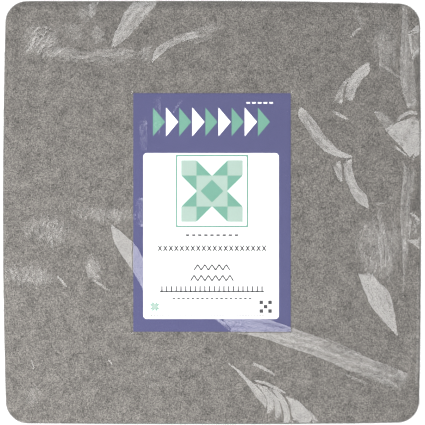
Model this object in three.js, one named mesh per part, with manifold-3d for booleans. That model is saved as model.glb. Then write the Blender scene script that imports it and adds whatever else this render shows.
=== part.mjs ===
// Wool pressing mat as it is sold: a pad of needled wool felt, a printed card laid on the pad, and the
// clear shrink film that wraps both.
// Millimetres, +Z up. The origin is the middle of the underside. +Y points to the head of the card.

import * as THREE from "three";
import { mergeVertices } from "three/addons/utils/BufferGeometryUtils.js";
import Module from "manifold-3d";

const wasm = await Module();
wasm.setup();

// Felt pad
const PAD_WIDTH = 351;
const PAD_LENGTH = 355.6;
const PAD_THICKNESS = 12.7;
const PAD_CORNER_RADIUS = 19;
const PAD_EDGE_RADIUS = 2.5; // the cut edges, eased by the wrap
const PAD_CORNER_PULL = 1.5; // how far the shrunken film draws the corners in from the sides

// Printed card
const CARD_WIDTH = 132;
const CARD_LENGTH = 200;
const CARD_THICKNESS = 0.3;

// Film: one sheet folded along the left side and welded along the other three
const FILM_THICKNESS = 0.05;
const FILM_RAMP = 5; // run of the film from the edge of the card down to the pad
const SEAL_WIDTH = 0.8; // the weld, as a bead round the rim
const SEAL_THICKNESS = 0.4;
const VENT_DIAMETER = 3; // holes that let the air out while the film shrinks
const VENT_INSET = 60; // from the sides of the pad to the middle of a vent

// Gap between pieces that lie against each other
const FIT_GAP = 0.3;

// Steps of the round stretches
const CORNER_STEPS = 10;
const SIDE_STEPS = 8;
const EDGE_STEPS = 4;
const PANEL_CORNER_STEPS = 4;
const VENT_SIDES = 16;

// Heights of the stack, from the underside up
const padBottom = FILM_THICKNESS + FIT_GAP;
const padTop = padBottom + PAD_THICKNESS;
const cardBottom = padTop + FIT_GAP;
const cardTop = cardBottom + CARD_THICKNESS;

// How far the film's two faces lie from the pad and the card
const filmInside = FIT_GAP;
const filmOutside = FIT_GAP + FILM_THICKNESS;

const feltMaterial = new THREE.MeshStandardMaterial({
  color: 0x918d88,
  roughness: 0.95,
  metalness: 0,
});
const cardMaterial = new THREE.MeshStandardMaterial({
  color: 0x6869a0,
  roughness: 0.6,
  metalness: 0,
});
const filmMaterial = new THREE.MeshStandardMaterial({
  color: 0xf4f6f8,
  roughness: 0.12,
  metalness: 0,
  transparent: true,
  opacity: 0.2,
});

// The points of a rectangle with round corners, anticlockwise about the origin. Each straight side is
// divided, so that it can be bent afterwards.
function roundedRectangle(width, length, radius, cornerSteps, sideSteps) {
  const acrossToCentre = width / 2 - radius;
  const alongToCentre = length / 2 - radius;
  const corners = [
    [1, -1],
    [1, 1],
    [-1, 1],
    [-1, -1],
  ];
  const arcs = corners.map(([sideX, sideY], quarter) => {
    const start = ((quarter - 1) * Math.PI) / 2;
    return Array.from({ length: cornerSteps + 1 }, (_, step) => {
      const angle = start + (step / cornerSteps) * (Math.PI / 2);
      return new THREE.Vector2(
        sideX * acrossToCentre + radius * Math.cos(angle),
        sideY * alongToCentre + radius * Math.sin(angle),
      );
    });
  });
  const points = [];
  arcs.forEach((arc, quarter) => {
    points.push(...arc);
    const from = arc[arc.length - 1];
    const to = arcs[(quarter + 1) % arcs.length][0];
    for (let step = 1; step < sideSteps; step += 1) {
      points.push(from.clone().lerp(to, step / sideSteps));
    }
  });
  return points;
}

// The pad's outline grown by a margin. The sides bow out between the corners, which the film draws in.
function padOutline(margin) {
  const width = PAD_WIDTH + 2 * margin;
  const length = PAD_LENGTH + 2 * margin;
  const radius = PAD_CORNER_RADIUS + margin;
  const points = roundedRectangle(width, length, radius, CORNER_STEPS, SIDE_STEPS);
  const bowed = points.map((point) => {
    const across = point.x / (width / 2);
    const along = point.y / (length / 2);
    return new THREE.Vector2(
      point.x - across * PAD_CORNER_PULL * along * along,
      point.y - along * PAD_CORNER_PULL * across * across,
    );
  });
  return new THREE.Shape(bowed);
}

// The pad grown by a margin on every side: the pad itself, or a face of the film round it.
function padGeometry(margin) {
  const edge = PAD_EDGE_RADIUS + margin;
  const geometry = new THREE.ExtrudeGeometry(padOutline(-PAD_EDGE_RADIUS), {
    depth: PAD_THICKNESS - 2 * PAD_EDGE_RADIUS,
    bevelEnabled: true,
    bevelSize: edge,
    bevelThickness: edge,
    bevelSegments: EDGE_STEPS,
  });
  return geometry.translate(0, 0, padBottom + PAD_EDGE_RADIUS);
}

// The rise of the film over the card, grown by a margin: a flat panel with a ramp down to the pad. The
// ramp runs on into the pad for as far again, so that it crosses the film's flat face cleanly.
function panelGeometry(margin) {
  const width = CARD_WIDTH + 2 * margin;
  const length = CARD_LENGTH + 2 * margin;
  const rise = cardTop - padTop;
  const depth = PAD_THICKNESS / 2;
  const outline = roundedRectangle(width, length, margin, PANEL_CORNER_STEPS, 1);
  const geometry = new THREE.ExtrudeGeometry(new THREE.Shape(outline), {
    depth,
    bevelEnabled: true,
    bevelSize: 2 * FILM_RAMP,
    bevelThickness: 2 * rise,
    bevelOffset: 0,
    bevelSegments: 1,
  });
  return geometry.translate(0, 0, cardTop + margin - 2 * rise - depth);
}

// A flat flange round the rim at half height, left off the side where the sheet is folded.
function sealSolid() {
  const middle = padBottom + PAD_THICKNESS / 2;
  const flange = new THREE.ExtrudeGeometry(padOutline(filmOutside + SEAL_WIDTH), {
    depth: SEAL_THICKNESS,
    bevelEnabled: false,
  });
  flange.translate(0, 0, middle - SEAL_THICKNESS / 2);
  const kept = new THREE.BoxGeometry(PAD_WIDTH, 2 * PAD_LENGTH, PAD_THICKNESS);
  kept.translate(PAD_CORNER_RADIUS, 0, middle);
  return solidFrom(flange).intersect(solidFrom(kept));
}

// One hole through the film under the pad.
function ventSolid(x, y) {
  const height = 2 * padBottom - FIT_GAP;
  const geometry = new THREE.CylinderGeometry(
    VENT_DIAMETER / 2,
    VENT_DIAMETER / 2,
    height,
    VENT_SIDES,
  );
  geometry.rotateX(Math.PI / 2).translate(x, y, 0);
  return solidFrom(geometry);
}

function solidFrom(geometry) {
  const bare = geometry.clone();
  bare.deleteAttribute("normal");
  bare.deleteAttribute("uv");
  const merged = mergeVertices(bare);
  return new wasm.Manifold(
    new wasm.Mesh({
      numProp: 3,
      vertProperties: new Float32Array(merged.attributes.position.array),
      triVerts: new Uint32Array(merged.index.array),
    }),
  );
}

function geometryFrom(solid) {
  const mesh = solid.getMesh();
  const geometry = new THREE.BufferGeometry();
  geometry.setAttribute("position", new THREE.BufferAttribute(mesh.vertProperties, 3));
  geometry.setIndex(new THREE.BufferAttribute(mesh.triVerts, 1));
  geometry.computeVertexNormals();
  return geometry;
}

function named(name, geometry, material) {
  const mesh = new THREE.Mesh(geometry, material);
  mesh.name = name;
  return mesh;
}

function feltPad() {
  return named("wool_felt_pad", padGeometry(0), feltMaterial);
}

function labelCard() {
  const geometry = new THREE.BoxGeometry(CARD_WIDTH, CARD_LENGTH, CARD_THICKNESS);
  const card = named("label_card", geometry, cardMaterial);
  card.position.z = (cardBottom + cardTop) / 2;
  return card;
}

function filmWrap() {
  let film = solidFrom(padGeometry(filmOutside))
    .add(solidFrom(panelGeometry(filmOutside)))
    .add(sealSolid())
    .subtract(solidFrom(padGeometry(filmInside)))
    .subtract(solidFrom(panelGeometry(filmInside)));
  const ventX = PAD_WIDTH / 2 - VENT_INSET;
  const ventY = PAD_LENGTH / 2 - VENT_INSET;
  for (const sideX of [-1, 1]) {
    for (const sideY of [-1, 1]) {
      film = film.subtract(ventSolid(sideX * ventX, sideY * ventY));
    }
  }
  return named("shrink_film_wrap", geometryFrom(film), filmMaterial);
}

const mat = new THREE.Group();
mat.add(feltPad(), labelCard(), filmWrap());

export default mat;
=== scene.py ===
"""Studio scene of a wool pressing mat: felt pad, printed card and the crinkled shrink film round both.

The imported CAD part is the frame. Lengths are metres, unless a name ends in _PX: those are pixels of the
photograph, counted from its top left corner. The print on the card is laid out in millimetres.
"""

import math
import random

import bpy
import numpy as np
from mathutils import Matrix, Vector, geometry, noise


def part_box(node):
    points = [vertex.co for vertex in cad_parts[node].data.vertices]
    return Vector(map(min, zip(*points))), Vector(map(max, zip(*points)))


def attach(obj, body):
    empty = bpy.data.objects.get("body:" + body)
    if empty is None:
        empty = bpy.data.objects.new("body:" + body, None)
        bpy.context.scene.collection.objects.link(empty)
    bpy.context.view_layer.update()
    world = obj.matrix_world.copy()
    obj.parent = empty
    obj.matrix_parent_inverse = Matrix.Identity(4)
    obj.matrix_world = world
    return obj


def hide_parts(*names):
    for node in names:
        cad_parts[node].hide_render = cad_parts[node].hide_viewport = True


MM = 0.001

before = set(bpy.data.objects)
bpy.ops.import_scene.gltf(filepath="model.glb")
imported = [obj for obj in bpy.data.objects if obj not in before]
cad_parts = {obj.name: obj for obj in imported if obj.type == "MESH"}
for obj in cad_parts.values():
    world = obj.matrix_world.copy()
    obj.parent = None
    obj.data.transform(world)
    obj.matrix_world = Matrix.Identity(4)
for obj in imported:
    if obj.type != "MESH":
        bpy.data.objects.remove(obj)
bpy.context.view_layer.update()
pad_low, pad_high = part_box("wool_felt_pad")
card_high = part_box("label_card")[1]
film_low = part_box("shrink_film_wrap")[0]

# The photograph and where the mat lies in it
PHOTO_SIZE_PX = 425
MAT_CENTRE_PX = (212.0, 212.5)
MAT_LENGTH_PX = 423.6
metres_per_pixel = (pad_high.y - pad_low.y) / MAT_LENGTH_PX

# Camera, straight above the mat
CAMERA_DISTANCE = 4.5
SENSOR_WIDTH_MM = 36.0

# Light: a bright ring of sky, as (upward part of the direction, brightness), and a softbox
SKY_RING = ((0.0, 0.10), (0.695, 0.12), (0.766, 1.0), (0.9613, 1.0), (0.9945, 0.05))
SKY_STRENGTH = 3.33
SOFTBOX_PLACE = (-0.35, -0.25, 0.62)
SOFTBOX_SIZE = 0.5
SOFTBOX_WATTS = 8.5
FLOOR_REACH = 4.0
FLOOR_GAP = 0.2 * MM
FLOOR_GLOW = 0.95

# Seeds of the noises and of the random draws
FELT_SEED = 3
FRAY_SEED = 5
CRINKLE_SEED = 7
STRAND_SEED = 9
FILM_SEED = 11
PALE_FIBRE_SEED = 21
DARK_FIBRE_SEED = 22
NOISE_SHIFT = (7.3, 3.1, 1.7)

# Fineness of the outlines and meshes
LEAST_CORNER_STEPS = 4
LINE_STEPS = 5

# Lengths and shares below this count as none
TINY = 1e-6

# Outline of the felt pad. The film pulls each corner in by its own amount, across and along the mat.
CORNER_RADIUS = 18 * MM
EDGE_RADIUS = 2.6 * MM
CORNER_PULLS = {
    (-1, 1): (2.4 * MM, 0.2 * MM),
    (1, 1): (1.0 * MM, 2.6 * MM),
    (-1, -1): (2.9 * MM, 0.9 * MM),
    (1, -1): (1.8 * MM, 1.5 * MM),
}

# Lines from which the film presses the felt down to the mat's edge, for the right edge and for the top edge
RIGHT_PRESSES_PX = (
    ((413, 48), (413.5, 58), (415.5, 82), (419.5, 112)),
    ((420, 162), (418, 175), (415, 195), (412.5, 212)),
)
TOP_PRESSES_PX = (((14, 7), (120, 7.5), (230, 8), (330, 7.5), (408, 9)),)
RIGHT_PRESS_SLOPE = 0.9
TOP_PRESS_SLOPE = 1.0
PRESS_FADE_PX = 4

# Felt. Its lumps are layers of (wave length, height).
FELT_GRID = 1.9 * MM
FELT_GRID_BELOW = 3.2 * MM
FELT_SIDE_ROWS = 6
FELT_EDGE_ROWS = 4
FELT_LUMPS = ((22 * MM, 0.10 * MM), (7 * MM, 0.08 * MM), (3.2 * MM, 0.07 * MM))
FELT_SINK = 0.06 * MM

# Loose fibres that lie on the felt
FIBRE_POINTS = 6
FIBRE_LENGTH = (4 * MM, 13 * MM)
FIBRE_RADIUS = (0.03 * MM, 0.09 * MM)
FIBRE_COUNT = 5200
FIBRE_RISE = 0.10 * MM
FIBRE_ROOT = 0.06 * MM
FIBRE_MARGIN = 6 * MM
FIBRE_MARGIN_STEP = 10 * MM
FIBRE_BEND = 0.35
FIBRE_WOBBLE = 0.12
FIBRE_TIP = 0.35
FIBRE_PEAK = 1.2

# Film. Its edge profile is (out, up), in parts of the edge radius. Its seal profile is (height, width), in
# parts of the seal's thickness and width.
FIT_GAP = 0.3 * MM
FILM_THICKNESS = 0.05 * MM
FILM_GRID = 2.7 * MM
FILM_GRID_BELOW = 14 * MM
FILM_EDGE_GRID = 2.2 * MM
FILM_EDGE_RADIUS = 1.6 * MM
FILM_EDGE_PROFILE = ((0.0, 1.0), (0.714, 0.481), (0.949, 0.157), (1.0, 0.0))
FILM_EDGE_CLEAR = 1.2 * MM
FILM_EDGE_CLEAR_STEP = 6 * MM
CARD_RAMP_SLOPE = 0.8
FILM_SLACK = 0.35 * MM
FILM_SLACK_WAVE = 42 * MM
FILM_SLACK_LAYERS = ((FILM_SLACK_WAVE, FILM_SLACK), (FILM_SLACK_WAVE / 3, FILM_SLACK / 5))
FILM_PUCKER = 0.35 * MM
FILM_PUCKER_WAVE = 9 * MM
SEAL_WIDTH = 0.8 * MM
SEAL_THICKNESS = 0.4 * MM
SEAL_PROFILE = ((0.6, 0), (0.5, 1), (-0.5, 1), (-0.6, 0))
VENT_RADIUS = 1.5 * MM
VENT_INSET = 60 * MM
VENT_SIDES = 16

# Folds of the film
BACK_SLOPE = 2.2
FOLD_TAPER = 0.1
FOLD_FRAY = 0.42 * MM
FOLD_FRAY_SHARE = 0.06
FOLD_FRAY_WAVE = 4.5 * MM
STRAND_WIDTH = 2.6 * MM
STRAND_SPREAD = 0.06
STRAND_STAGGER = 0.08
STRAND_WANDER = 0.12
STRAND_WANDER_WAVE = 9
STRAND_WANDER_SHIFT = 2.4
LEAST_BLUNTNESS = 0.05
CREASE_ANGLE = math.radians(4.5)

# Pleats and crinkles of the film
PLEAT_WIDTH_PX = (3.4, 5.6)
PLEAT_POINTS = 7
PLEAT_BEND_PX = 0.7
PLEAT_BEND_WAVE_PX = 30
PLEAT_TAPER = 0.28
PLEAT_SPREAD = 0.08
PLEAT_SHIFT = 0.15
PLEAT_LAST_SHARE = 0.98
CRINKLE_GRID = 1.1 * MM
CRINKLE_SIDES = 24
CRINKLE_EDGE_WAVE = 9 * MM
CRINKLE_EDGE_WANDER = 0.8
CRINKLE_FADE = 1.8
CRINKLE_LENGTH = 4 * MM
CRINKLE_WIDTH = 2.4 * MM

# Print on the card, in millimetres from the middle of the card
PANEL_MIDDLE = (-0.8, -19.7)
PANEL_HALF = (56.8, 69.5)
PANEL_CORNER = 3
PANEL_STEP = 0.6
STAR_MIDDLE = (0, 18)
STAR_SIZE = 52
STAR_FRAME = 9
STAR_DIAMOND = 0.26 * STAR_SIZE
SMALL_STAR_MIDDLE = (-48, -79)
SMALL_STAR_SIZE = 9
GOOSE_SHARE = 0.92
STITCH_SHARE = 0.62
CROSS_REACH = 0.36
PATCH_SHARE = 0.9
STITCH_RISE = 2.4
BLOCK_CORNERS = ((-1, -1), (-1, 1), (1, -1), (1, 1))
INK_HEIGHT = 0.02 * MM

# Colours
PALE_WOOL = (0.245, 0.230, 0.213)
DARK_WOOL = (0.026, 0.024, 0.022)
FELT_SHADE = (0.0490, 0.0461, 0.0424)
FELT_LIGHT = (0.1335, 0.1251, 0.1152)
CARD_PURPLE = (0.045, 0.0455, 0.118)
INK_WHITE = (0.9, 0.9, 0.9)
INK_MINT = (0.095, 0.230, 0.174)
INK_PALE_MINT = (0.243, 0.323, 0.284)
INK_GREY = (0.03, 0.03, 0.034)

# Grain of the felt: stops of (noise, grey), and its flecks of (angle, colour)
CLOUD_STOPS = ((0.3, 0), (0.7, 1))
SPECKLE_STOPS = ((0.25, 0.1), (0.5, 1.0), (0.75, 2.4))
FLECK_STOPS = ((0.53, 0), (0.73, 0.8))
FLECK_LENGTH = 2.6 * MM
FLECK_WIDTH = 0.55 * MM
FLECK_TILT = (0.3, 0.2)
FLECKS = (
    (20, PALE_WOOL),
    (65, DARK_WOOL),
    (112, PALE_WOOL),
    (158, DARK_WOOL),
    (80, PALE_WOOL),
    (5, DARK_WOOL),
)

# Mirroring of the film: its share seen straight on, what a glancing view adds, and how late that sets in
MIRROR_SHARE = 0.047
MIRROR_GLANCE = 0.9
MIRROR_POWER = 5


def photo_point(pixel):
    """The place on the mat, across and along, of a pixel in the photograph."""
    x = (pixel[0] - MAT_CENTRE_PX[0]) * metres_per_pixel
    y = (MAT_CENTRE_PX[1] - pixel[1]) * metres_per_pixel
    return (x, y)


# Shapes in the plane


def rounded_rectangle(half_width, half_length, radius, spacing):
    """Points round a rectangle with round corners, anticlockwise, about spacing apart."""
    across = half_width - radius
    along = half_length - radius
    corner_steps = max(LEAST_CORNER_STEPS, round(radius * math.pi / 2 / spacing))
    corners = []
    for quarter, (side_x, side_y) in enumerate(((1, -1), (1, 1), (-1, 1), (-1, -1))):
        arc = []
        for step in range(corner_steps + 1):
            angle = (quarter - 1 + step / corner_steps) * math.pi / 2
            x = side_x * across + radius * math.cos(angle)
            y = side_y * along + radius * math.sin(angle)
            arc.append((x, y))
        corners.append(arc)
    points = []
    for quarter, arc in enumerate(corners):
        points += arc
        start = Vector(arc[-1])
        end = Vector(corners[(quarter + 1) % 4][0])
        steps = max(1, round((end - start).length / spacing))
        points += [tuple(start.lerp(end, step / steps)) for step in range(1, steps)]
    return points


def pad_outline(margin, spacing):
    """The pad's outline grown by a margin, with the corners drawn in."""
    half_width = (pad_high.x - pad_low.x) / 2 + margin
    half_length = (pad_high.y - pad_low.y) / 2 + margin
    points = []
    for x, y in rounded_rectangle(half_width, half_length, CORNER_RADIUS + margin, spacing):
        across = x / half_width
        along = y / half_length
        pull = CORNER_PULLS[(1 if x > 0 else -1, 1 if y > 0 else -1)]
        points.append((x - across * along**2 * pull[0], y - along * across**2 * pull[1]))
    return np.array(points)


def outward_normals(outline):
    """The outward direction at each point of an anticlockwise outline."""
    ahead = np.roll(outline, -1, axis=0) - np.roll(outline, 1, axis=0)
    normals = np.stack((ahead[:, 1], -ahead[:, 0]), axis=1)
    return normals / np.linalg.norm(normals, axis=1, keepdims=True)


def inside_outline(points, outline):
    """Which points lie inside an outline that bulges everywhere."""
    inside = np.ones(len(points), bool)
    for start, end in zip(outline, np.roll(outline, -1, axis=0)):
        edge = end - start
        offset = points - start
        inside &= edge[0] * offset[:, 1] - edge[1] * offset[:, 0] > 0
    return inside


def grid_points(outline, spacing):
    """A triangular grid that fills an outline, clear of its edge by half a step."""
    low = outline.min(axis=0)
    high = outline.max(axis=0)
    row_height = spacing * math.sqrt(3) / 2
    rows = []
    for row, y in enumerate(np.arange(low[1], high[1], row_height)):
        x = np.arange(low[0] + (row % 2) * spacing / 2, high[0], spacing)
        rows.append(np.stack((x, np.full_like(x, y)), axis=1))
    points = np.concatenate(rows)
    centre = outline.mean(axis=0)
    reach = np.abs(outline - centre).max()
    shrunk = centre + (outline - centre) * (1 - spacing / 2 / reach)
    return points[inside_outline(points, shrunk)]


def triangulate(outline, points, lines=()):
    """Triangles that fill an outline through the given points, with the lines kept as edges."""
    coordinates = [Vector(point) for point in outline]
    count = len(coordinates)
    edges = [(i, (i + 1) % count) for i in range(count)]
    coordinates += [Vector(point) for point in points]
    for line in lines:
        start = len(coordinates)
        coordinates += [Vector(point) for point in line]
        edges += [(i, i + 1) for i in range(start, len(coordinates) - 1)]
    result = geometry.delaunay_2d_cdt(coordinates, edges, [], 0, TINY, False)
    return np.array([tuple(point) for point in result[0]]), [tuple(face) for face in result[2]]


def smooth_line(points):
    """A Catmull-Rom curve through a few chosen points, as points at even steps in each stretch."""
    controls = [np.array(point, float) for point in points]
    controls = [2 * controls[0] - controls[1]] + controls + [2 * controls[-1] - controls[-2]]
    line = []
    for before, start, end, after in zip(controls, controls[1:], controls[2:], controls[3:]):
        square = 2 * before - 5 * start + 4 * end - after
        cube = 3 * start - before - 3 * end + after
        for step in range(LINE_STEPS):
            t = step / LINE_STEPS
            line.append(0.5 * (2 * start + (end - before) * t + square * t**2 + cube * t**3))
    return np.array(line + [controls[-2]])


def layered_noise(points, layers, seed):
    """Smooth noise at each point, as the sum of layers of (wave length, height)."""
    heights = np.zeros(len(points))
    for layer, (wave, height) in enumerate(layers):
        shift = Vector((seed * NOISE_SHIFT[0], layer * NOISE_SHIFT[1], seed * NOISE_SHIFT[2]))
        for index, point in enumerate(points):
            place = Vector((point[0], point[1], point[2] if len(point) > 2 else 0))
            heights[index] += height * noise.noise(place / wave + shift)
    return heights


def raised(flat, height):
    """Points of the plane at a height, or each at its own."""
    return np.column_stack((flat, np.broadcast_to(height, len(flat))))


# Meshes


def new_object(name, vertices, faces, material):
    mesh = bpy.data.meshes.new(name)
    mesh.from_pydata([tuple(vertex) for vertex in vertices], [], faces)
    mesh.validate()
    mesh.materials.append(material)
    mesh.shade_smooth()
    made = bpy.data.objects.new(name, mesh)
    bpy.context.scene.collection.objects.link(made)
    return made


def apply_modifiers(target):
    """Bakes an object's modifiers into its mesh."""
    bpy.context.view_layer.update()
    evaluated = target.evaluated_get(bpy.context.evaluated_depsgraph_get())
    mesh = bpy.data.meshes.new_from_object(evaluated)
    target.modifiers.clear()
    target.data = mesh


def slab(name, rings, top_cap, bottom_cap, material):
    """A closed skin: rings from the top edge down to the bottom edge, and a cap over each end.

    A cap is (vertices, triangles), and its first vertices are those of the ring that it closes.
    """
    count = len(rings[0])
    vertices = [point for ring in rings for point in ring]
    faces = []
    for row in range(len(rings) - 1):
        for index in range(count):
            after = (index + 1) % count
            above = row * count
            below = above + count
            faces.append((above + index, below + index, below + after, above + after))
    for (cap_vertices, triangles), first, flip in (
        (top_cap, 0, False),
        (bottom_cap, (len(rings) - 1) * count, True),
    ):
        start = len(vertices)
        vertices += [tuple(point) for point in cap_vertices[count:]]
        for triangle in triangles:
            corners = [first + i if i < count else start + i - count for i in triangle]
            faces.append(tuple(reversed(corners)) if flip else tuple(corners))
    return new_object(name, vertices, faces, material)


def edge_profile(radius, rows, top):
    """(out, up) steps from the flat face round to the side, for a rounded edge of the given radius."""
    steps = []
    for row in range(rows + 1):
        angle = row / rows * math.pi / 2
        steps.append((radius * math.sin(angle), radius * math.cos(angle)))
    return steps if top else [(out, -up) for out, up in reversed(steps)]


# Materials


def new_material(name):
    material = bpy.data.materials.new(name)
    material.use_nodes = True
    material.node_tree.nodes.clear()
    return material


def add_node(tree, kind, inputs=None, **settings):
    """A node with its settings made and its inputs set or linked."""
    made = tree.nodes.new(kind)
    for name, value in settings.items():
        setattr(made, name, value)
    for name, value in (inputs or {}).items():
        if isinstance(value, bpy.types.NodeSocket):
            tree.links.new(value, made.inputs[name])
        else:
            made.inputs[name].default_value = value
    return made


def ramp(tree, source, stops):
    """A colour ramp through (position, grey) stops."""
    made = add_node(tree, "ShaderNodeValToRGB", {"Fac": source})
    elements = made.color_ramp.elements
    while len(elements) < len(stops):
        elements.new(0.5)
    for element, (position, grey) in zip(elements, stops):
        element.position = position
        element.color = (grey, grey, grey, 1)
    return made.outputs["Color"]


def object_place(tree):
    """Coordinates that stay with the object."""
    return add_node(tree, "ShaderNodeTexCoord").outputs["Object"]


def noise_texture(tree, place, scale, detail, roughness=0.5, distortion=0):
    inputs = {"Scale": scale, "Detail": detail, "Roughness": roughness, "Distortion": distortion}
    return add_node(tree, "ShaderNodeTexNoise", {"Vector": place, **inputs}).outputs["Fac"]


def mix(tree, factor, first, second, blend_type="MIX"):
    """The first colour with the second blended over it."""
    inputs = {"Fac": factor, "Color1": first, "Color2": second}
    return add_node(tree, "ShaderNodeMixRGB", inputs, blend_type=blend_type).outputs["Color"]


def calculate(tree, operation, *values):
    inputs = dict(enumerate(values))
    return add_node(tree, "ShaderNodeMath", inputs, operation=operation).outputs["Value"]


def bump(tree, height, strength, distance):
    inputs = {"Height": height, "Strength": strength, "Distance": distance}
    return add_node(tree, "ShaderNodeBump", inputs).outputs["Normal"]


def shaded(colour, share=1):
    """A colour made darker or lighter, with full cover."""
    return tuple(min(1, share * part) for part in colour) + (1,)


def finish_material(tree, shader):
    add_node(tree, "ShaderNodeOutputMaterial", {"Surface": shader})


def finish_principled(tree, inputs):
    finish_material(tree, add_node(tree, "ShaderNodeBsdfPrincipled", inputs).outputs["BSDF"])


def flecks(tree, place, angle):
    """Short flecks of fibre at one angle: noise drawn out along it."""
    inputs = {
        "Vector": place,
        "Rotation": (*FLECK_TILT, math.radians(angle)),
        "Scale": (FLECK_LENGTH, FLECK_WIDTH, FLECK_WIDTH),
    }
    drawn_out = add_node(tree, "ShaderNodeMapping", inputs, vector_type="TEXTURE").outputs["Vector"]
    return ramp(tree, noise_texture(tree, drawn_out, scale=1, detail=2, distortion=0.9), FLECK_STOPS)


def felt_material():
    """Heathered wool: mid grey wool with paler and darker fibres, and clouds of both."""
    material = new_material("heathered_wool_felt")
    tree = material.node_tree
    place = object_place(tree)
    clouds = noise_texture(tree, place, scale=75, detail=2, roughness=0.85)
    speckle = noise_texture(tree, place, scale=1000, detail=1)
    colour = mix(tree, ramp(tree, clouds, CLOUD_STOPS), shaded(FELT_SHADE), shaded(FELT_LIGHT))
    colour = mix(tree, 1, colour, ramp(tree, speckle, SPECKLE_STOPS), "MULTIPLY")
    for angle, wool in FLECKS:
        colour = mix(tree, flecks(tree, place, angle), colour, shaded(wool))
    inputs = {
        "Base Color": colour,
        "Roughness": 0.95,
        "Specular IOR Level": 0.15,
        "Sheen Weight": 0.12,
        "Sheen Roughness": 0.6,
        "Normal": bump(tree, speckle, strength=0.6, distance=0.6 * MM),
    }
    finish_principled(tree, inputs)
    return material


def fibre_material(name, colour):
    """One strand of wool, with its colour shifting along it."""
    material = new_material(name)
    tree = material.node_tree
    shift = noise_texture(tree, object_place(tree), scale=160, detail=1)
    shade = mix(tree, shift, shaded(colour, 0.7), shaded(colour, 1.3))
    finish_principled(tree, {"Base Color": shade, "Roughness": 0.7, "Specular IOR Level": 0.3})
    return material


def paper_material(name, colour):
    """Coated card or the ink on it, with a faint print grain."""
    material = new_material(name)
    tree = material.node_tree
    place = object_place(tree)
    grain = noise_texture(tree, place, scale=900, detail=3)
    drift = noise_texture(tree, place, scale=30, detail=2)
    mottle = calculate(tree, "MULTIPLY", grain, drift)
    inputs = {
        "Base Color": mix(tree, mottle, shaded(colour, 0.93), shaded(colour, 1.12)),
        "Roughness": 0.5,
        "Specular IOR Level": 0.3,
        "Normal": bump(tree, grain, strength=0.08, distance=0.05 * MM),
    }
    finish_principled(tree, inputs)
    return material


def film_material():
    """Clear film: light goes straight through, and each face mirrors a little, more at a glancing angle."""
    material = new_material("clear_shrink_film")
    tree = material.node_tree
    ripple = noise_texture(tree, object_place(tree), scale=110, detail=4, roughness=0.6)
    relief = bump(tree, ripple, strength=0.4, distance=0.5 * MM)
    facing = add_node(tree, "ShaderNodeLayerWeight", {"Blend": 0.5}).outputs["Facing"]
    steep = calculate(tree, "POWER", facing, MIRROR_POWER)
    mirror = calculate(tree, "MULTIPLY_ADD", steep, MIRROR_GLANCE, MIRROR_SHARE)
    clear = add_node(tree, "ShaderNodeBsdfTransparent", {"Color": (0.995, 0.995, 0.995, 1)})
    gloss = add_node(
        tree, "ShaderNodeBsdfGlossy", {"Color": (1, 1, 1, 1), "Roughness": 0.09, "Normal": relief}
    )
    both = add_node(
        tree, "ShaderNodeMixShader", {0: mirror, 1: clear.outputs["BSDF"], 2: gloss.outputs["BSDF"]}
    )
    finish_material(tree, both.outputs["Shader"])
    return material


# Felt pad

felt_outline = pad_outline(-EDGE_RADIUS, FELT_GRID)
felt_normals = outward_normals(felt_outline)


def felt_lift(points):
    """How far the felt's face stands off its flat plane: always a little below it on average."""
    return layered_noise(points, FELT_LUMPS, FELT_SEED) - FELT_SINK


def edge_press(points):
    """How far the film presses the felt down along the mat's right edge and top edge."""
    x = MAT_CENTRE_PX[0] + points[:, 0] / metres_per_pixel
    y = MAT_CENTRE_PX[1] - points[:, 1] / metres_per_pixel
    pressed = np.zeros(len(points))
    for line in RIGHT_PRESSES_PX:
        across, down = np.array(line).T
        fade = np.clip(np.minimum(y - down[0], down[-1] - y) / PRESS_FADE_PX, 0, 1)
        pressed += RIGHT_PRESS_SLOPE * fade * np.maximum(x - np.interp(y, down, across), 0)
    for line in TOP_PRESSES_PX:
        across, down = np.array(line).T
        fade = np.clip(np.minimum(x - across[0], across[-1] - x) / PRESS_FADE_PX, 0, 1)
        pressed += TOP_PRESS_SLOPE * fade * np.maximum(np.interp(x, across, down) - y, 0)
    return pressed * metres_per_pixel


def felt_rings():
    """The sides of the pad: rings from the edge of its upper face down to the edge of its lower face."""
    top = pad_high.z - EDGE_RADIUS
    bottom = pad_low.z + EDGE_RADIUS
    steps = [(out, top + up) for out, up in edge_profile(EDGE_RADIUS, FELT_EDGE_ROWS, True)]
    for row in range(1, FELT_SIDE_ROWS):
        steps.append((EDGE_RADIUS, top + (bottom - top) * row / FELT_SIDE_ROWS))
    steps += [(out, bottom + up) for out, up in edge_profile(EDGE_RADIUS, FELT_EDGE_ROWS, False)]
    rings = []
    for out, height in steps:
        lean = out / EDGE_RADIUS
        ring = raised(felt_outline + felt_normals * out, height)
        lift = felt_lift(ring)
        ring[:, :2] += felt_normals * (lift * lean)[:, None]
        upward = 1 if height > (top + bottom) / 2 else -1
        ring[:, 2] += upward * lift * math.sqrt(max(0, 1 - lean**2))
        share = np.clip((height - bottom) / (pad_high.z - bottom), 0, 1)
        ring[:, 2] -= share * edge_press(ring)
        rings.append([tuple(point) for point in ring])
    return rings


def felt_cap(spacing, height, side):
    """The upper face of the pad, on side 1, or the lower one, on side -1."""
    flat, triangles = triangulate(felt_outline, grid_points(felt_outline, spacing))
    places = raised(flat, height)
    places[:, 2] += side * felt_lift(places)
    if side > 0:
        places[:, 2] -= edge_press(places)
    return places, triangles


def make_felt(material):
    top_cap = felt_cap(FELT_GRID, pad_high.z, 1)
    bottom_cap = felt_cap(FELT_GRID_BELOW, pad_low.z, -1)
    felt = slab("felt_pad", felt_rings(), top_cap, bottom_cap, material)
    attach(felt, "root")
    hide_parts("wool_felt_pad")


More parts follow.
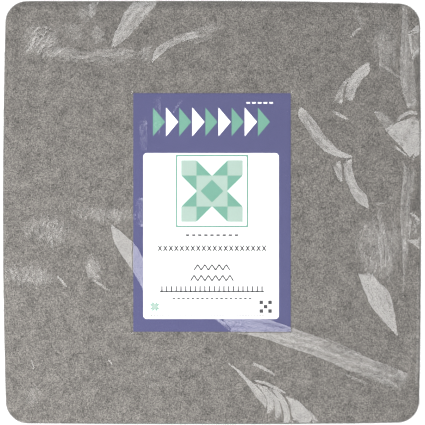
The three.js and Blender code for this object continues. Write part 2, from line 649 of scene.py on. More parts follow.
def fibre_paths(chance):
    """Where the loose fibres lie on the felt: a few points along a gentle bend for each."""
    bound = pad_outline(-FIBRE_MARGIN, FIBRE_MARGIN_STEP)
    half = np.abs(bound).max(axis=0)
    paths = []
    while len(paths) < FIBRE_COUNT:
        start = (chance.uniform(-half[0], half[0]), chance.uniform(-half[1], half[1]))
        heading = chance.uniform(0, 2 * math.pi)
        bend = chance.gauss(0, FIBRE_BEND)
        step = chance.uniform(*FIBRE_LENGTH) / (FIBRE_POINTS - 1)
        path = [start]
        for _ in range(FIBRE_POINTS - 1):
            x, y = path[-1]
            path.append((x + step * math.cos(heading), y + step * math.sin(heading)))
            heading += bend + chance.gauss(0, FIBRE_WOBBLE)
        if inside_outline(np.array([path[0], path[-1]]), bound).all():
            paths.append(path)
    return np.array(paths).reshape(-1, 2)


def make_fibres(name, seed, material):
    """Loose wool fibres lying on the felt: thin three-sided strands that rise from it and dip back in."""
    chance = random.Random(seed)
    places = raised(fibre_paths(chance), pad_high.z)
    rise = FIBRE_RISE * np.sin(math.pi * np.linspace(0, 1, FIBRE_POINTS)) - FIBRE_ROOT
    places[:, 2] += felt_lift(places) + np.tile(rise, FIBRE_COUNT)
    spines = places.reshape(FIBRE_COUNT, FIBRE_POINTS, 3)
    ahead = np.gradient(spines[:, :, :2], axis=1)
    ahead /= np.linalg.norm(ahead, axis=2, keepdims=True)
    side = np.stack((-ahead[:, :, 1], ahead[:, :, 0], 0 * ahead[:, :, 0]), axis=2)
    radii = np.array([chance.uniform(*FIBRE_RADIUS) for _ in range(FIBRE_COUNT)])
    thickness = np.ones(FIBRE_POINTS)
    thickness[[0, -1]] = FIBRE_TIP
    width = radii[:, None, None] * thickness[:, None]
    corners = (spines + side * width, spines - side * width, spines + width * (0, 0, FIBRE_PEAK))
    vertices = np.stack(corners, axis=2).reshape(-1, 3)
    faces = []
    for first in range(0, len(vertices), 3 * FIBRE_POINTS):
        last = first + 3 * (FIBRE_POINTS - 1)
        for low in range(first, last, 3):
            for corner in range(3):
                after = (corner + 1) % 3
                faces.append((low + corner, low + after, low + 3 + after, low + 3 + corner))
        faces.append((first, first + 2, first + 1))
        faces.append((last, last + 1, last + 2))
    fibres = new_object(name, vertices, faces, material)
    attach(fibres, "root")


# Folds of the film. Each is a flank between its crest and its foot: the slope of the flank, or its slopes
# from end to end, and then points of the crest and of the foot in pairs, as x, y of the crest and x, y of
# the foot. Behind the crest the film drops back steeply.
FOLDS_PX = {
    "upper_left_blade": (
        (0.1, 0.082), (112, 49, 111.5, 48), (126, 39, 114.5, 34), (134.5, 30, 119.5, 25),
        (146, 17, 124, 14), (158, 2, 133, 2), (163, -5, 137, -5),
    ),
    "upper_sliver": (
        (0.13, 0.1, 0.072), (152.5, 62.5, 151.5, 61.5), (161, 55, 156, 49), (170, 48, 166, 42),
        (185, 41, 182, 34), (202, 36.5, 200, 31),
    ),
    "top_left_veil": (0.06, (98, -4, 91, -4), (97.5, 4, 90, 4), (96, 12, 89, 12), (92, 18, 89, 17)),
    "top_right_crease": (0.043, (351, 6, 356, 5), (356, 17, 360.5, 16), (361.5, 29, 364.5, 28)),
    "top_right_glint": (0.1, (351, 38, 349.5, 36.5), (355.5, 34, 353.5, 32.5), (360.5, 28.5, 359, 27.5)),
    "right_edge_band": (
        0.07, (403, -5, 407, -5), (402, 20, 408.5, 20), (401, 40, 411, 40), (400, 60, 413.5, 60),
        (400.5, 80, 415.5, 80), (404, 98, 417.5, 98), (409, 110, 419, 110),
    ),
    "right_diagonal": (0.05, (374, 62, 375.5, 60.5), (386, 69.5, 387.5, 67.5), (399, 79, 400, 76.5)),
    "right_corner_glint": (0.1, (408, 34, 409.5, 32.5), (415, 32, 416, 26), (424, 29, 424, 20)),
    "right_corner_haze": (
        0.06, (408, 31, 424, 28), (408.5, 40, 424, 34), (410, 49, 424, 40), (412.5, 58, 423, 46),
    ),
    "right_edge_crease": (0.1, (411, 60, 412.5, 61), (416, 54, 417.5, 55.5), (422, 47, 423, 49)),
    "right_edge_facet": (
        0.088, (386, 131, 394, 124.5), (394, 140, 404, 120.5), (402, 148, 418, 118.5),
        (411, 160, 425, 150),
    ),
    "right_edge_haze": (
        0.06, (374, 112, 379, 111), (378, 119, 387, 116), (382, 126, 392, 120), (387, 132, 394.5, 124),
    ),
    "right_edge_lip": (
        0.13, (397, 122.5, 396, 120.8), (403.5, 117.3, 402, 114.6), (409.5, 114.2, 408.5, 111),
        (417, 115, 417, 111.5),
    ),
    "right_edge_line": (0.12, (393, 146.5, 394.5, 145), (400, 152, 401.5, 150.5), (408, 157.5, 409, 156)),
    "right_lower_band": (
        (0.074, 0.06), (404, 158, 416, 158), (403, 176, 415, 176), (401, 196, 412.5, 196),
        (400, 216, 411, 216), (401.5, 236, 410, 236), (402.5, 256, 407.3, 256), (403, 276, 405, 276),
        (402, 296, 403.5, 296),
    ),
    "right_edge_tie": (
        0.11, (410, 213.5, 411.5, 211.5), (414.5, 218, 416.5, 216), (421, 226, 422.5, 223),
    ),
    "right_edge_wedge": (0.1, (407.5, 240, 408.5, 241.5), (414, 239.5, 415, 245.5), (422, 239, 422, 251)),
    "right_edge_rim": (
        0.05, (416, 252, 421.5, 252), (416.5, 285, 422, 285), (416.5, 320, 422, 320),
        (416, 355, 421.5, 355), (414.5, 394, 420, 394),
    ),
    "right_arc": (
        0.085, (371, 206, 371, 203.5), (381, 204.5, 380.5, 202.3), (391, 199.5, 389.5, 197.5),
        (400, 190, 398.5, 188.5),
    ),
    "upper_right_blade": (
        0.132, (352, 102, 344.5, 101), (354.5, 95, 345.5, 93), (357.5, 87, 347.5, 83),
        (362.5, 79, 354.5, 72), (369, 72, 361.5, 66.5), (369.5, 63, 368, 62.5),
    ),
    "upper_right_side": (
        0.1, (342.5, 103, 331.5, 106), (343, 94, 336.5, 95), (345, 86, 341, 85), (350, 78, 348.5, 77),
    ),
    "upper_right_dash": (0.13, (333, 110.5, 333, 113), (341, 114, 340, 117), (349, 119.5, 348, 121.5)),
    "long_blade": (
        0.132, (301, 107, 299, 109), (307.8, 113, 298.5, 116), (316, 122.4, 306, 128),
        (322, 132, 312.4, 138), (331, 142.7, 321, 148), (339, 150, 332, 155), (353, 156.5, 349, 159),
    ),
    "long_blade_end": (
        0.132, (352, 157.5, 341, 159), (352, 167, 344, 167), (354, 176, 345, 178),
        (358.6, 187, 350, 190), (366.5, 196, 357, 202), (368.5, 208.5, 367.8, 208.5),
    ),
    "long_blade_side": (0.125, (340, 161, 332.5, 163), (342, 171, 335, 172), (342, 182, 339.5, 181.5)),
    "right_blade": (
        0.13, (358, 274, 371, 273), (362, 285, 378, 281), (366, 295, 385, 287.5), (371, 306, 390.5, 296),
        (381, 318.5, 393.5, 309), (389, 327, 395.5, 322), (397, 336, 398, 336),
    ),
    "lower_band_rim": (
        0.085, (322, 336, 321, 338.3), (338, 343, 337, 345.3), (352, 349.5, 351, 351.8),
        (364, 355.5, 363, 357.8),
    ),
    "lower_band": (
        (0.114, 0.113, 0.101, 0.071, 0.0745, 0.07), (221, 315.5, 219, 330), (238, 316.5, 236, 333),
        (256, 318, 254, 336), (275, 321.5, 272, 341), (293, 328, 291, 348), (309, 333.5, 310, 354),
        (324, 339.5, 328, 361), (339, 346.5, 344, 369), (357, 353.5, 361, 376), (376, 361, 380, 383),
        (397, 369, 395, 390.5), (412, 375.5, 410, 400.5),
    ),
    "lower_band_edge": (0.07, (337, 369.5, 336, 371.5), (352, 376, 351, 378.5), (370, 384, 369, 386)),
    "card_corner_smear": (0.06, (147, 119, 138.5, 118), (147.5, 134, 139, 134), (147, 152, 140, 152)),
    "card_head_smear": (0.055, (161, 96, 154, 96), (160.5, 116, 153, 116), (160, 138, 155, 138)),
    "card_head_glint": (0.075, (184, 100, 181, 98.5), (178, 107, 175, 106), (174, 113, 172.5, 112)),
    "card_side_smear": (0.06, (143.5, 198, 135, 198), (143.5, 212, 135.5, 212), (143, 227, 136, 226)),
    "card_wedge": (0.16, (213, 317, 216, 316.5), (222, 324, 226, 323.5), (232, 331.5, 233, 331)),
    "fan_first": (
        0.14, (227.5, 363.5, 228, 363), (236.5, 370.5, 239, 370), (245, 380.5, 251, 381.5),
        (251, 389, 258, 388), (256.5, 397, 263.5, 394), (261, 402, 266.5, 400), (265, 407, 267, 407),
    ),
    "fan_second": (
        0.14, (254, 384, 258, 383.5), (260.5, 389, 266, 389.5), (265.5, 396, 272, 397),
        (267.3, 404, 273.8, 405), (266.5, 415, 272.5, 415),
    ),
    "fan_third": (
        0.14, (262, 386, 265, 386), (268, 391, 272.7, 391), (272.7, 398, 277.9, 398),
        (274.8, 407, 280.6, 407), (275.3, 420, 282.3, 420),
    ),
    "fan_fourth": (
        0.14, (267.5, 388, 276.5, 389.5), (274.2, 393.5, 282.5, 396), (279.8, 401, 287, 403.5),
        (283, 411, 289.5, 412), (284.5, 425, 291, 425),
    ),
    "fan_fifth": (
        0.14, (280, 391.5, 289.5, 395.5), (286.5, 397.5, 298.5, 401), (289.8, 404.5, 305.7, 408),
        (291.8, 413, 310.8, 415.5), (293.2, 425, 315.5, 425),
    ),
    "fan_sixth": (0.1, (306.5, 411, 309, 410), (310.5, 417, 315, 416.5), (315, 426, 321, 426)),
    "fan_rim": (
        0.15, (254, 381, 255, 379.5), (264, 384, 266, 381.8), (276, 390, 278, 387.8),
        (288, 397, 290, 395),
    ),
    "fan_dash": (0.13, (249, 364, 250, 361.5), (261, 368.5, 262, 365.5), (274, 375.5, 275, 374)),
    "left_blade": (
        0.145, (111.5, 224.5, 111, 226), (123.5, 233.5, 113.5, 240), (133, 242.5, 119, 251),
        (140, 252, 126, 261), (144, 268, 134, 273), (145.5, 292, 144.5, 292),
    ),
    "left_smear_tail": (0.09, (93, 278, 92, 280.5), (102, 284.5, 101, 286.7), (110, 290, 109.5, 291.5)),
    "left_band_dash": (0.11, (58, 275.5, 57, 277), (62.5, 280, 61, 281.5), (67, 286.5, 66, 287)),
    "left_dash": (0.14, (31, 360, 32.3, 360), (32.3, 365, 33.6, 365), (33.5, 370.5, 34.8, 370.5)),
    "lower_dash": (
        0.14, (107.5, 359.5, 108.5, 358.5), (110, 362.5, 111, 361.5), (112.5, 365.5, 113.5, 364.5),
    ),
}

# Folds that end more bluntly than the rest, with the share of their length over which they taper
BLUNT_TAPERS = {"lower_band": 0.065}

# Patches of film crinkled into small creases. Each is an ellipse: its middle and half sizes, in pixels, the
# way it lies and the way its creases run, in degrees from across the mat, and how steep the creases are.
CRINKLES_PX = {
    "corner": ((42, 41), (21, 19), 20, 58, 0.07),
    "corner_spot": ((36, 41), (11, 8), 25, 120, 0.07),
    "upper_band": ((124, 56), (30, 8), 8, 60, 0.06),
    "right_haze": ((377, 264), (20, 19), -15, 60, 0.045),
    "right_edge": ((415, 227), (7, 13), 0, -50, 0.08),
    "left": ((46, 230), (24, 20), 0, 62, 0.055),
    "left_edge": ((16, 274), (20, 13), -15, 20, 0.06),
}

# Hazy patches of film, drawn into narrow pleats that fall away from the middle of the mat. Each is an
# ellipse: its middle and half sizes, in pixels, the way its pleats run, in degrees from across the mat, and
# their slope.
PLEATS_PX = {
    "corner": ((43, 41), (24, 20), 45, 0.075),
    "corner_band": ((71, 54), (24, 8), -4, 0.075),
    "corner_spread": ((74, 32), (12, 12), 40, 0.058),
    "top_left": ((86, 12), (17, 8), 40, 0.075),
    "upper_left": ((98, 35), (10, 8), 20, 0.06),
    "upper_band": ((114, 56), (44, 8), 4, 0.079),
    "sliver_head": ((147, 54), (11, 8), 40, 0.082),
    "sliver_tail": ((200, 34), (29, 8), 23, 0.067),
    "upper_right": ((386, 42), (46, 12), 92, 0.058),
    "right_veil": ((379, 246), (46, 24), 92, (0.072, 0.062)),
    "right_edge": ((415, 227), (15, 6), 90, 0.062),
    "left": ((48, 230), (23, 26), 90, 0.074),
    "left_band": ((104, 214), (10, 32), 86, 0.071),
    "left_edge": ((25, 275), (16, 30), 85, 0.08),
    "smear": ((93.5, 268.5), (19, 7), -70, 0.098),
    "lower_left": ((32, 396), (13, 10), -45, 0.053),
    "bottom": ((152, 378), (13, 9), -10, 0.053),
}


def frayed(line, reach):
    """A line with small uneven steps of up to the given reach to either side."""
    layers = ((FOLD_FRAY_WAVE, 1),)
    across = layered_noise(line, layers, FRAY_SEED)
    along = layered_noise(line, layers, FRAY_SEED + 1)
    return line + reach[:, None] * np.column_stack((across, along))


class Fold:
    """One fold of the film: rows of points with heights, from behind the crest to the foot.

    The flank is made of strands, strips from end to end that differ a little in slope and in length. It
    tapers at a blunt end.
    """

    def __init__(self, crest, foot, slope, chance, taper):
        crest = smooth_line([photo_point(pixel) for pixel in crest])
        foot = smooth_line([photo_point(pixel) for pixel in foot])
        fray = np.minimum(FOLD_FRAY, FOLD_FRAY_SHARE * np.linalg.norm(crest - foot, axis=1))
        crest = frayed(crest, fray)
        foot = frayed(foot, fray)
        width = np.linalg.norm(crest - foot, axis=1)
        along = np.linspace(0, 1, len(crest))
        slopes = np.atleast_1d(slope)
        steepness = np.interp(along, np.linspace(0, 1, len(slopes)), slopes)
        count = max(1, round(width.max() / STRAND_WIDTH))
        blunt = np.maximum(width[[0, -1]] / width.max(), LEAST_BLUNTNESS)
        strands = []
        for _ in range(count):
            stagger = STRAND_STAGGER * chance.uniform(0, 1, 2)
            start = along / blunt[0] - stagger[0]
            end = (1 - along) / blunt[1] - stagger[1]
            fade = np.clip(np.minimum(start, end) / taper, 0, 1)
            strands.append(fade * (1 + STRAND_SPREAD * chance.uniform(-1, 1)))
        self.rows = []
        for row in range(count + 1):
            wander = 0 * along
            if 0 < row < count:
                wander = STRAND_WANDER * np.sin(STRAND_WANDER_WAVE * along + STRAND_WANDER_SHIFT * row)
            share = ((row + wander) / count)[:, None]
            height = steepness * width * sum(strands[row:], 0 * along) / count
            self.rows.append((crest + (foot - crest) * share, height))
        away = (crest - foot) / np.maximum(width, TINY)[:, None]
        back = crest + away * (self.rows[0][1] / BACK_SLOPE)[:, None]
        self.rows.insert(0, (back, 0 * along))
        self.lines = [points for points, _ in self.rows]

    def triangles(self):
        for (points, heights), (next_points, next_heights) in zip(self.rows, self.rows[1:]):
            for i in range(len(points) - 1):
                corners = (points[i], points[i + 1], next_points[i], next_points[i + 1])
                levels = (heights[i], heights[i + 1], next_heights[i], next_heights[i + 1])
                for chosen in ((0, 1, 2), (1, 3, 2)):
                    yield [corners[c] for c in chosen], [levels[c] for c in chosen]

    def lift(self, points):
        """The height that this fold gives to each point."""
        heights = np.zeros(len(points))
        done = np.zeros(len(points), bool)
        for (a, b, c), levels in self.triangles():
            area = (b[0] - a[0]) * (c[1] - a[1]) - (b[1] - a[1]) * (c[0] - a[0])
            if abs(area) < TINY**2:
                continue
            near = points - a
            v = (near[:, 0] * (c[1] - a[1]) - near[:, 1] * (c[0] - a[0])) / area
            w = (near[:, 1] * (b[0] - a[0]) - near[:, 0] * (b[1] - a[1])) / area
            inside = (v >= -TINY) & (w >= -TINY) & (v + w <= 1 + TINY) & ~done
            level = levels[0] + v * (levels[1] - levels[0]) + w * (levels[2] - levels[0])
            heights[inside] = level[inside]
            done |= inside
        return heights


def direction(degrees):
    """The unit vector at an angle from across the mat, anticlockwise."""
    return np.array((math.cos(math.radians(degrees)), math.sin(math.radians(degrees))))


def turned(points, ahead):
    """Points in axes along and across a direction."""
    return np.column_stack((points @ ahead, points @ np.array((-ahead[1], ahead[0]))))


class Crinkle:
    """One crinkled patch of the film: an ellipse of small creases that fade towards its uneven edge."""

    def __init__(self, middle, half, lie, turn, slope):
        self.middle = np.array(photo_point(middle))
        self.half = np.array(half) * metres_per_pixel
        self.lie = direction(lie)
        self.turn = direction(turn)
        self.slope = slope
        angles = np.linspace(0, 2 * math.pi, CRINKLE_SIDES, endpoint=False)
        ring = self.half * np.column_stack((np.cos(angles), np.sin(angles)))
        side = np.array((-self.lie[1], self.lie[0]))
        self.outline = self.middle + ring[:, :1] * self.lie + ring[:, 1:] * side

    def lift(self, points):
        """The height that the creases give to each point."""
        heights = np.zeros(len(points))
        reach = ((turned(points - self.middle, self.lie) / self.half) ** 2).sum(axis=1)
        near = np.flatnonzero(reach < 1)
        wander = layered_noise(points[near], ((CRINKLE_EDGE_WAVE, CRINKLE_EDGE_WANDER),), CRINKLE_SEED)
        fade = np.clip(CRINKLE_FADE * (1 - reach[near]) * (1 + wander), 0, 1)
        stretched = turned(points[near], self.turn) / (CRINKLE_LENGTH, CRINKLE_WIDTH)
        creases = np.abs(layered_noise(stretched, ((1, CRINKLE_WIDTH),), CRINKLE_SEED))
        heights[near] = self.slope * fade * creases
        return heights


def pleats(middle, half, run, slope, chance):
    """The narrow folds side by side that fill one hazy patch, steepest in its middle."""
    middle = np.array(middle)
    along = direction(run) * (1, -1)
    outward = np.array((along[1], -along[0]))
    if outward @ (middle - MAT_CENTRE_PX) < 0:
        outward = -outward
    made = []
    near = -half[1]
    while near < half[1]:
        far = near + chance.uniform(*PLEAT_WIDTH_PX)
        share = min((near + far) / 2 / half[1], PLEAT_LAST_SHARE)
        fullness = math.sqrt(1 - share**2)
        steepness = math.sqrt(fullness) * (1 + PLEAT_SPREAD * chance.uniform(-1, 1))
        steps = np.linspace(-1, 1, PLEAT_POINTS) + PLEAT_SHIFT * chance.uniform(-1, 1)
        places = half[0] * fullness * steps
        bend = PLEAT_BEND_PX * np.sin(2 * math.pi * (places + middle[0]) / PLEAT_BEND_WAVE_PX)
        spine = middle + places[:, None] * along + bend[:, None] * outward
        slopes = steepness * np.array(slope)
        made.append(Fold(spine + near * outward, spine + far * outward, slopes, chance, PLEAT_TAPER))
        near = far
    return made


# Film wrap

crinkles = [Crinkle(*patch) for patch in CRINKLES_PX.values()]
strand_chance = np.random.default_rng(STRAND_SEED)
folds = []
for fold_name, (fold_slope, *fold_pairs) in FOLDS_PX.items():
    pairs = np.array(fold_pairs)
    fold_taper = BLUNT_TAPERS.get(fold_name, FOLD_TAPER)
    folds.append(Fold(pairs[:, :2], pairs[:, 2:], fold_slope, strand_chance, fold_taper))
for patch in PLEATS_PX.values():
    folds += pleats(*patch, strand_chance)
film_margin = FIT_GAP + FILM_THICKNESS
card_ramp = (card_high.z - pad_high.z) / CARD_RAMP_SLOPE


def card_rise(points):
    """The film's rise over the card, with a short ramp down to the felt on every side."""
    out_x = np.abs(points[:, 0]) - card_high.x - FIT_GAP
    out_y = np.abs(points[:, 1]) - card_high.y - FIT_GAP
    away = np.hypot(np.maximum(out_x, 0), np.maximum(out_y, 0))
    return (card_high.z - pad_high.z) * np.clip(1 - away / card_ramp, 0, 1)


def card_lines():
    """The two lines where the film bends round the card: the top and the foot of the ramp."""
    lines = []
    for margin in (FIT_GAP, FIT_GAP + card_ramp):
        ring = rounded_rectangle(card_high.x + margin, card_high.y + margin, margin, FILM_GRID)
        lines.append(np.array(ring + ring[:1]))
    return lines


def film_lift(points):
    """How far the film's upper face stands off a sheet stretched flat on the felt."""
    waves = layered_noise(points, FILM_SLACK_LAYERS, FILM_SEED)
    lift = card_rise(points) + np.maximum(waves + FILM_SLACK / 2, 0)
    for bend in folds + crinkles:
        lift += bend.lift(points)
    return lift


def film_rings(outline, top, bottom):
    """The film round the sides of the mat: rings from the edge of its upper face down to its lower face."""
    normals = outward_normals(outline)
    middle = (top + bottom) / 2
    radius = FILM_EDGE_RADIUS
    upper = [(out * radius, top - (1 - up) * radius, up, 0) for out, up in FILM_EDGE_PROFILE]
    lower = [(out * radius, bottom + (1 - up) * radius, 0, 0) for out, up in reversed(FILM_EDGE_PROFILE)]
    steps = upper + [(radius, (top + middle) / 2, 0, 0)]
    for height, bead in SEAL_PROFILE:
        steps.append((radius, middle + height * SEAL_THICKNESS, 0, bead))
    steps += [(radius, (bottom + middle) / 2, 0, 0)] + lower
    edge_lift = film_lift(outline)
    sealed = np.clip((outline[:, 0] - pad_low.x - CORNER_RADIUS) / CORNER_RADIUS, 0, 1)
    rings = []
    for out, height, share, bead in steps:
        ring = raised(outline + normals * (out + bead * SEAL_WIDTH * sealed)[:, None], height)
        pucker = np.abs(layered_noise(ring, ((FILM_PUCKER_WAVE, FILM_PUCKER),), FILM_SEED + 1))
        ring[:, :2] += normals * (pucker * out / radius)[:, None]
        ring[:, 2] += edge_lift * share
        rings.append([tuple(point) for point in ring])
    return rings


def film_top(outline, height):
    """The film over the felt and the card, with an edge along every crest, foot and strand of its folds."""
    inner = pad_outline(film_margin - FILM_EDGE_RADIUS - FILM_EDGE_CLEAR, FILM_EDGE_CLEAR_STEP)
    lines = card_lines()
    for fold in folds:
        for line in fold.lines:
            kept = line[inside_outline(line, inner)]
            if len(kept) > 1:
                lines.append(kept)
    points = grid_points(outline, FILM_GRID)
    for crinkle in crinkles:
        clear = ~inside_outline(points, crinkle.outline)
        points = np.concatenate((points[clear], grid_points(crinkle.outline, CRINKLE_GRID)))
    flat, triangles = triangulate(outline, points[inside_outline(points, inner)], lines)
    return raised(flat, height + film_lift(flat)), triangles


def film_underside(outline, height):
    """The flat film below the felt, with its vent holes left out."""
    vent_x = (pad_high.x - pad_low.x) / 2 - VENT_INSET
    vent_y = (pad_high.y - pad_low.y) / 2 - VENT_INSET
    centres = [(x, y) for x in (-vent_x, vent_x) for y in (-vent_y, vent_y)]
    angles = np.linspace(0, 2 * math.pi, VENT_SIDES + 1)
    lines = []
    for x, y in centres:
        lines.append(np.column_stack((x + VENT_RADIUS * np.cos(angles), y + VENT_RADIUS * np.sin(angles))))
    flat, triangles = triangulate(outline, grid_points(outline, FILM_GRID_BELOW), lines)
    kept = []
    for triangle in triangles:
        middle = flat[list(triangle)].mean(axis=0)
        if min(math.dist(middle, centre) for centre in centres) > VENT_RADIUS:
            kept.append(triangle)
    return raised(flat, height), kept


def make_film(material):
    outline = pad_outline(film_margin - FILM_EDGE_RADIUS, FILM_EDGE_GRID)
    top = pad_high.z + film_margin
    bottom = pad_low.z - film_margin
    top_cap = film_top(outline, top)
    bottom_cap = film_underside(outline, bottom)
    film = slab("film_wrap", film_rings(outline, top, bottom), top_cap, bottom_cap, material)
    shell = film.modifiers.new("thickness", "SOLIDIFY")
    shell.thickness = FILM_THICKNESS
    shell.offset = -1
    apply_modifiers(film)
    film.data.shade_smooth()
    film.data.set_sharp_from_angle(angle=CREASE_ANGLE)
    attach(film, "root")
    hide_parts("shrink_film_wrap")


# Print on the card. Shapes are outlines in millimetres, anticlockwise, made about the origin and moved.


def moved(outlines, place):
    """Outlines moved to a place on the card."""
    return [[(x + place[0], y + place[1]) for x, y in outline] for outline in outlines]


def turned_outline(outline, degrees):
    """An outline turned about the origin."""
    cos, sin = direction(degrees)
    return [(x * cos - y * sin, x * sin + y * cos) for x, y in outline]


def box_outline(width, height, middle=(0, 0)):
    sides = ((-1, -1), (1, -1), (1, 1), (-1, 1))
    return [(middle[0] + x * width / 2, middle[1] + y * height / 2) for x, y in sides]


def thread_outline(start, end, width):
    """One straight stitch of thread."""
    along = Vector(end) - Vector(start)
    middle = (Vector(start) + Vector(end)) / 2
    lying = box_outline(along.length, width)
    return moved([turned_outline(lying, math.degrees(math.atan2(along.y, along.x)))], middle)[0]


def squares(places, reach, side):
    """Squares at places that are given in steps of a reach."""
    return [box_outline(side, side, (x * reach, y * reach)) for x, y in places]


def star_points(size):
    """The eight points of a sawtooth star block: two triangles on each side of its middle square."""
    unit = size / 4
    left = ((-unit, unit), (0, unit), (-unit, 2 * unit))
    right = ((0, unit), (unit, unit), (unit, 2 * unit))
    return [turned_outline(point, turn) for turn in (0, 90, 180, 270) for point in (left, right)]


def star_squares(size):
    """The middle square and the four corner squares of a star block."""
    return [box_outline(size / 2, size / 2)] + squares(BLOCK_CORNERS, size * 3 / 8, size / 4)


def nine_patch(size):
    """The five dark squares of a nine-patch block."""
    return squares(((0, 0),) + BLOCK_CORNERS, size / 3, size / 3 * PATCH_SHARE)


def border(size, line):
    """A thin square frame."""
    reach = (size - line) / 2
    return [
        box_outline(size, line, (0, reach)),
        box_outline(size, line, (0, -reach)),
        box_outline(line, size - 2 * line, (reach, 0)),
        box_outline(line, size - 2 * line, (-reach, 0)),
    ]


def flying_geese(width, height, count):
    """A band of triangles that all fly to the right."""
    step = width / count
    goose = ((0, -height / 2), (step * GOOSE_SHARE, 0), (0, height / 2))
    return [moved([goose], (index * step - width / 2, 0))[0] for index in range(count)]


def stitch_middles(width, count):
    """Where the stitches of a row have their middles."""
    return [(index + 0.5) * width / count - width / 2 for index in range(count)]


def running_stitch(width, count, thread):
    length = width / count * STITCH_SHARE
    return [box_outline(length, thread, (x, 0)) for x in stitch_middles(width, count)]


def cross_stitch(width, count, thread):
    reach = width / count * CROSS_REACH
    stitches = []
    for x in stitch_middles(width, count):
        for rise in (-STITCH_RISE, STITCH_RISE):
            stitches.append(thread_outline((x - reach, -rise), (x + reach, rise), thread))
    return stitches


def zigzag_stitch(width, count, thread):
    step = width / count
    stitches = []
    for index in range(count):
        x = index * step - width / 2
        rise = STITCH_RISE if index % 2 else -STITCH_RISE
        stitches.append(thread_outline((x, rise), (x + step, -rise), thread))
    return stitches


def blanket_stitch(width, count, thread):
    edge = box_outline(width, thread, (0, -STITCH_RISE))
    return [edge] + [box_outline(thread, 2 * STITCH_RISE, (x, 0)) for x in stitch_middles(width, count)]


def make_ink(name, outlines, layer, material):
    """One colour of ink: a thin flat piece for each outline, on the card or on the inks below it."""
    low = card_high.z + layer * INK_HEIGHT
    vertices = []
    faces = []
    for outline in outlines:
        first = len(vertices)
        count = len(outline)
        for height in (low, low + INK_HEIGHT):
            vertices += [(x * MM, y * MM, height) for x, y in outline]
        faces.append(tuple(range(first + count - 1, first - 1, -1)))
        faces.append(tuple(range(first + count, first + 2 * count)))
        for index in range(first, first + count):
            after = first + (index - first + 1) % count
            faces.append((index, after, count + after, count + index))
    ink = new_object(name, vertices, faces, material)
    ink.data.shade_flat()
    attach(ink, "root")


def make_print():
    """A white panel with a quilt block and rows of stitches, under a band of flying geese."""
    white = paper_material("white_ink", INK_WHITE)
    mint = paper_material("mint_ink", INK_MINT)
    pale = paper_material("pale_mint_ink", INK_PALE_MINT)
    grey = paper_material("grey_ink", INK_GREY)
    panel = moved([rounded_rectangle(*PANEL_HALF, PANEL_CORNER, PANEL_STEP)], PANEL_MIDDLE)
    geese = moved(flying_geese(width=99, height=24, count=9), (0, 76))
    head_stitches = moved(running_stitch(width=24, count=5, thread=1.1), (40, 92))
    framed_star = star_points(STAR_SIZE) + border(STAR_SIZE + STAR_FRAME, line=1.6)
    small_star = moved(star_points(SMALL_STAR_SIZE), SMALL_STAR_MIDDLE)
    small_squares = moved([box_outline(SMALL_STAR_SIZE / 2, SMALL_STAR_SIZE / 2)], SMALL_STAR_MIDDLE)
    diamond = turned_outline(box_outline(STAR_DIAMOND, STAR_DIAMOND), 45)
    grey_shapes = (
        moved(running_stitch(width=46, count=9, thread=1.7), (0, -19))
        + moved(cross_stitch(width=92, count=20, thread=1.2), (0, -30))
        + moved(zigzag_stitch(width=30, count=10, thread=1.3), (0, -46))
        + moved(zigzag_stitch(width=36, count=12, thread=1.3), (0, -55))
        + moved(blanket_stitch(width=88, count=22, thread=1.3), (0, -64))
        + moved(running_stitch(width=68, count=17, thread=1.4), (0, -72))
        + moved(nine_patch(size=11), (45, -79))
        + moved(running_stitch(width=96, count=40, thread=1.0), (-4, -86.5))
    )
    make_ink("white_ink", panel + geese[1::2] + head_stitches, 0, white)
    make_ink("mint_ink", geese[0::2], 0, mint)
    make_ink("mint_panel_ink", moved(framed_star, STAR_MIDDLE) + small_star, 1, mint)
    make_ink("pale_ink", moved(star_squares(STAR_SIZE), STAR_MIDDLE) + small_squares, 1, pale)
    make_ink("grey_ink", grey_shapes, 1, grey)
    make_ink("diamond_ink", moved([diamond], STAR_MIDDLE), 2, mint)


# Light, floor and camera


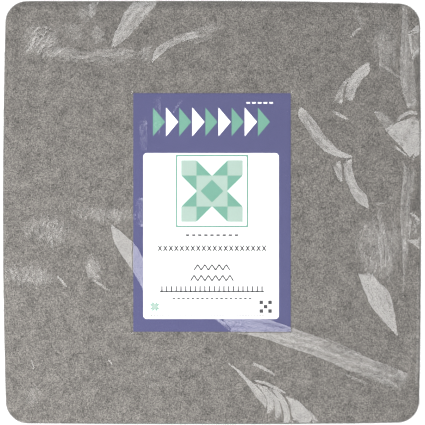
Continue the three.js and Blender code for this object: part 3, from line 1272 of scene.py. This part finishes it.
def make_floor():
    material = new_material("white_sweep")
    inputs = {
        "Base Color": (0.2, 0.2, 0.2, 1),
        "Roughness": 0.8,
        "Emission Color": (1, 1, 1, 1),
        "Emission Strength": FLOOR_GLOW,
    }
    finish_principled(material.node_tree, inputs)
    corners = [(x * FLOOR_REACH, y * FLOOR_REACH, 0) for x, y in ((-1, -1), (1, -1), (1, 1), (-1, 1))]
    floor = new_object("floor", corners, [(0, 1, 2, 3)], material)
    floor.location.z = film_low.z - FLOOR_GAP


def make_light():
    """A soft ring of light overhead, open where the camera looks through, and a softbox low on the left."""
    world = bpy.data.worlds.new("studio")
    world.use_nodes = True
    bpy.context.scene.world = world
    tree = world.node_tree
    tree.nodes.clear()
    heading = add_node(tree, "ShaderNodeTexCoord").outputs["Generated"]
    upward = add_node(tree, "ShaderNodeSeparateXYZ", {"Vector": heading}).outputs["Z"]
    glow = ramp(tree, upward, SKY_RING)
    background = add_node(tree, "ShaderNodeBackground", {"Color": glow, "Strength": SKY_STRENGTH})
    add_node(tree, "ShaderNodeOutputWorld", {"Surface": background.outputs["Background"]})
    lamp = bpy.data.lights.new("left_softbox", "AREA")
    lamp.shape = "SQUARE"
    lamp.size = SOFTBOX_SIZE
    lamp.energy = SOFTBOX_WATTS
    box = bpy.data.objects.new("left_softbox", lamp)
    box.location = SOFTBOX_PLACE
    box.rotation_euler = (Vector((0, 0, 0)) - box.location).to_track_quat("-Z", "Y").to_euler()
    box.visible_glossy = False
    bpy.context.scene.collection.objects.link(box)


def make_camera():
    data = bpy.data.cameras.new("camera")
    data.sensor_width = SENSOR_WIDTH_MM
    data.lens = SENSOR_WIDTH_MM * CAMERA_DISTANCE / (PHOTO_SIZE_PX * metres_per_pixel)
    camera = bpy.data.objects.new("camera", data)
    aim = photo_point((PHOTO_SIZE_PX / 2, PHOTO_SIZE_PX / 2))
    widest = pad_high.z - EDGE_RADIUS
    camera.location = (aim[0], aim[1], widest + CAMERA_DISTANCE)
    bpy.context.scene.collection.objects.link(camera)
    bpy.context.scene.camera = camera
    bpy.context.scene.view_settings.view_transform = "Standard"


make_camera()
make_light()
make_floor()
make_felt(felt_material())
make_fibres("pale_fibres", PALE_FIBRE_SEED, fibre_material("pale_wool", PALE_WOOL))
make_fibres("dark_fibres", DARK_FIBRE_SEED, fibre_material("dark_wool", DARK_WOOL))
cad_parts["label_card"].data.materials[0] = paper_material("purple_card", CARD_PURPLE)
make_print()
make_film(film_material())
